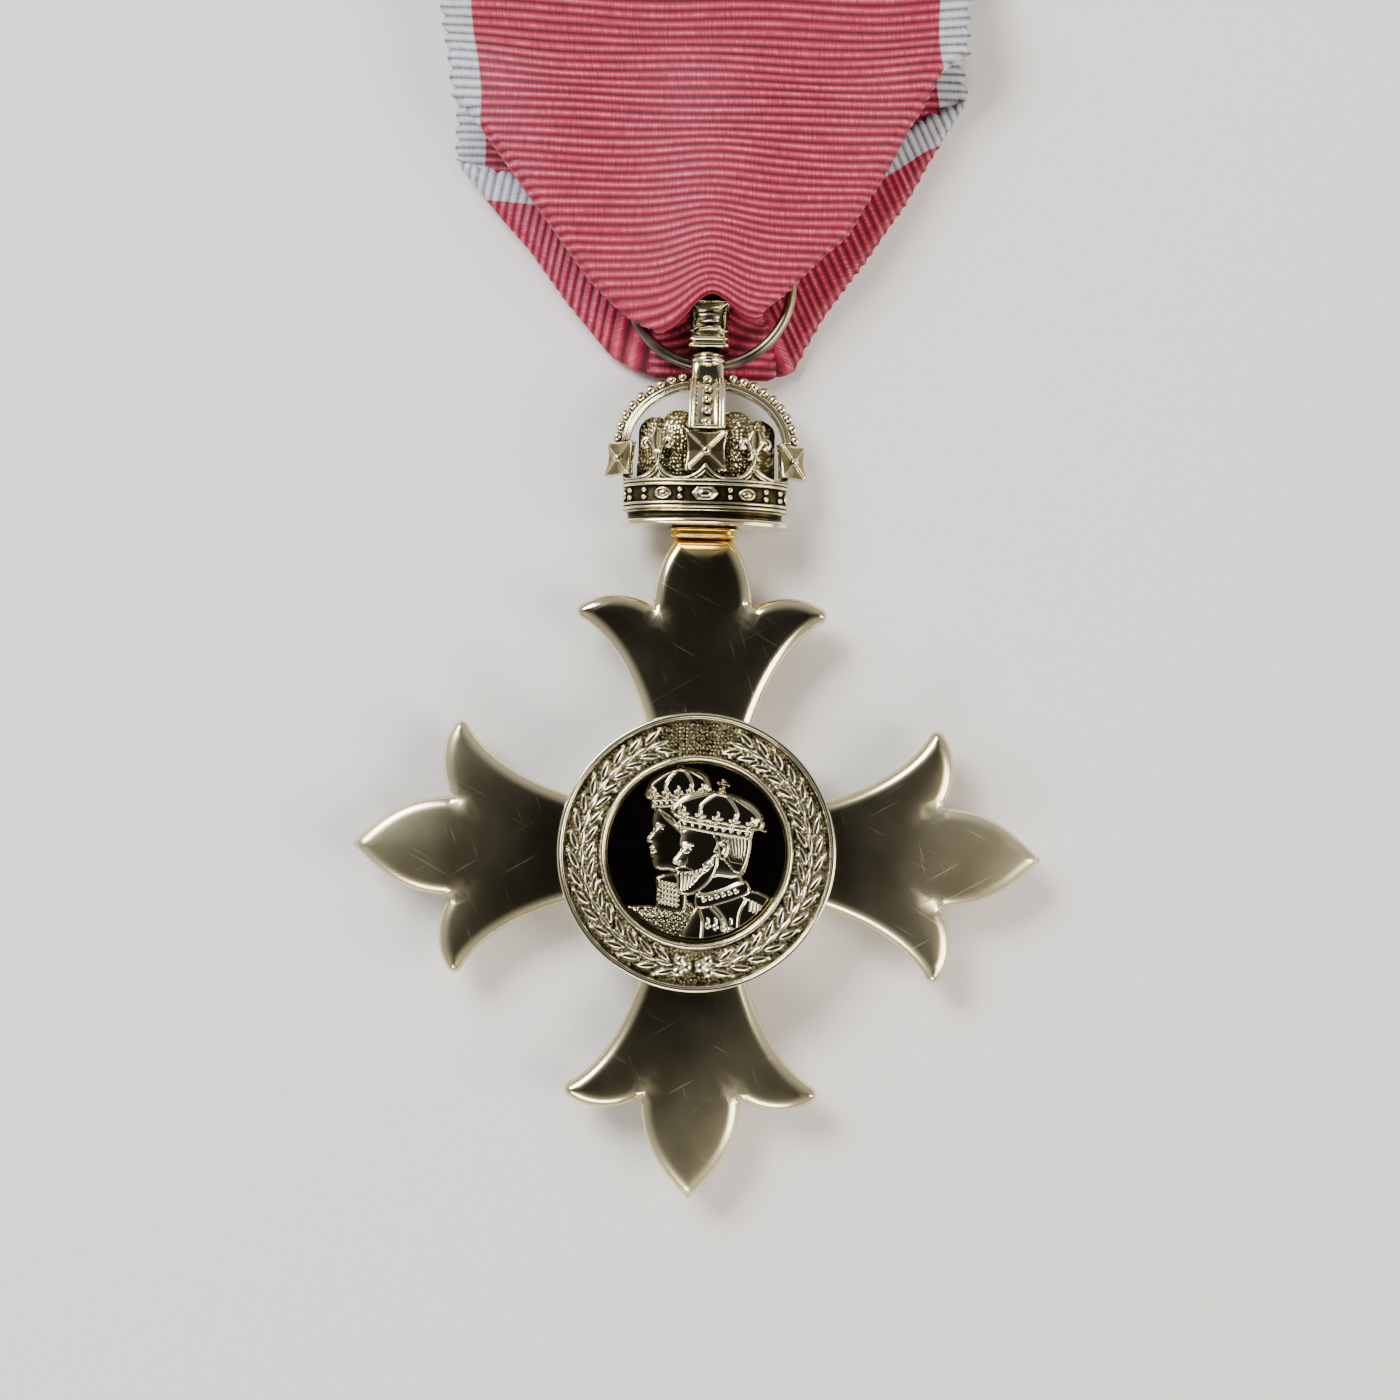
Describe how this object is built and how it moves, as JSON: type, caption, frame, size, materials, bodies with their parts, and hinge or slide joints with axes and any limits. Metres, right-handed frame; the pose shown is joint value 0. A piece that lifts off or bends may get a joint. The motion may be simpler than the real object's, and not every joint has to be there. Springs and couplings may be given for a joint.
{
  "type": "medal",
  "caption": "Silver cross badge with a round bust medallion, pierced crown, wire ring and folded ribbon on a brooch bar.",
  "frame": {"origin": "centre of the reverse medallion's flat back face, in the middle of the cross", "axes": "+Y from the cross up to the ribbon, +Z out of the front face, +X to the right seen from the front"},
  "size_m": [0.05, 0.0956, 0.006],
  "materials": {
    "polished_silver": "polished silver, lightly scratched, warm tone",
    "struck_silver": "die-struck silver, bright on the high points",
    "cast_silver": "cast and chased silver, darkened in the hollows",
    "gilt_collar": "gold-toned brazed collar, polished",
    "tarnished_wire": "drawn wire, tarnished grey-brown",
    "ribbon_silk": "ribbed rose-pink silk with pearl-grey edges",
    "nickel_steel": "nickel-plated steel, satin"
  },
  "bodies": {
    "badge": {"cross_body": "polished_silver", "obverse_ring": "struck_silver", "obverse_medallion": "struck_silver", "reverse_ring": "struck_silver", "reverse_medallion": "struck_silver", "neck_collar": "gilt_collar", "crown_base": "cast_silver", "crown_circlet": "cast_silver", "crown_cap": "cast_silver", "cross_front": "cast_silver", "cross_back": "cast_silver", "cross_left": "cast_silver", "cross_right": "cast_silver", "fleur_front_left": "cast_silver", "fleur_front_right": "cast_silver", "fleur_back_left": "cast_silver", "fleur_back_right": "cast_silver", "arch_left": "cast_silver", "arch_right": "cast_silver", "strap_front": "cast_silver", "strap_back": "cast_silver", "monde": "cast_silver", "top_cross": "cast_silver"},
    "ring": {"suspension_ring": "tarnished_wire"},
    "ribbon_lower": {"ribbon_front_lower": "ribbon_silk", "ribbon_back_lower": "ribbon_silk", "ribbon_fold": "ribbon_silk"},
    "ribbon_upper": {"ribbon_front_upper": "ribbon_silk", "ribbon_back_upper": "ribbon_silk", "ribbon_hem": "ribbon_silk", "brooch_bar": "nickel_steel", "pin_bracket": "nickel_steel", "hinge_rivet": "nickel_steel", "pin_catch": "nickel_steel"},
    "pin": {"brooch_pin": "nickel_steel"}
  },
  "joints": [
    {"name": "ring_swing", "type": "hinge", "parent": "badge", "child": "ring", "pos_m": [0, 0.0356, 0.003], "axis": [1, 0, 0], "range_deg": [-20, 90]},
    {"name": "ribbon_draw", "type": "slide", "parent": "ring", "child": "ribbon_lower", "axis": [0, 1, 0], "range_m": [0, 0.004]},
    {"name": "ribbon_bend", "type": "hinge", "parent": "ribbon_lower", "child": "ribbon_upper", "pos_m": [0, 0.06, 0.003], "axis": [1, 0, 0], "range_deg": [-40, 40]},
    {"name": "pin_open", "type": "hinge", "parent": "ribbon_upper", "child": "pin", "pos_m": [-0.0149, 0.0667, 0.00075], "axis": [0, 1, 0], "range_deg": [0, 100]}
  ]
}
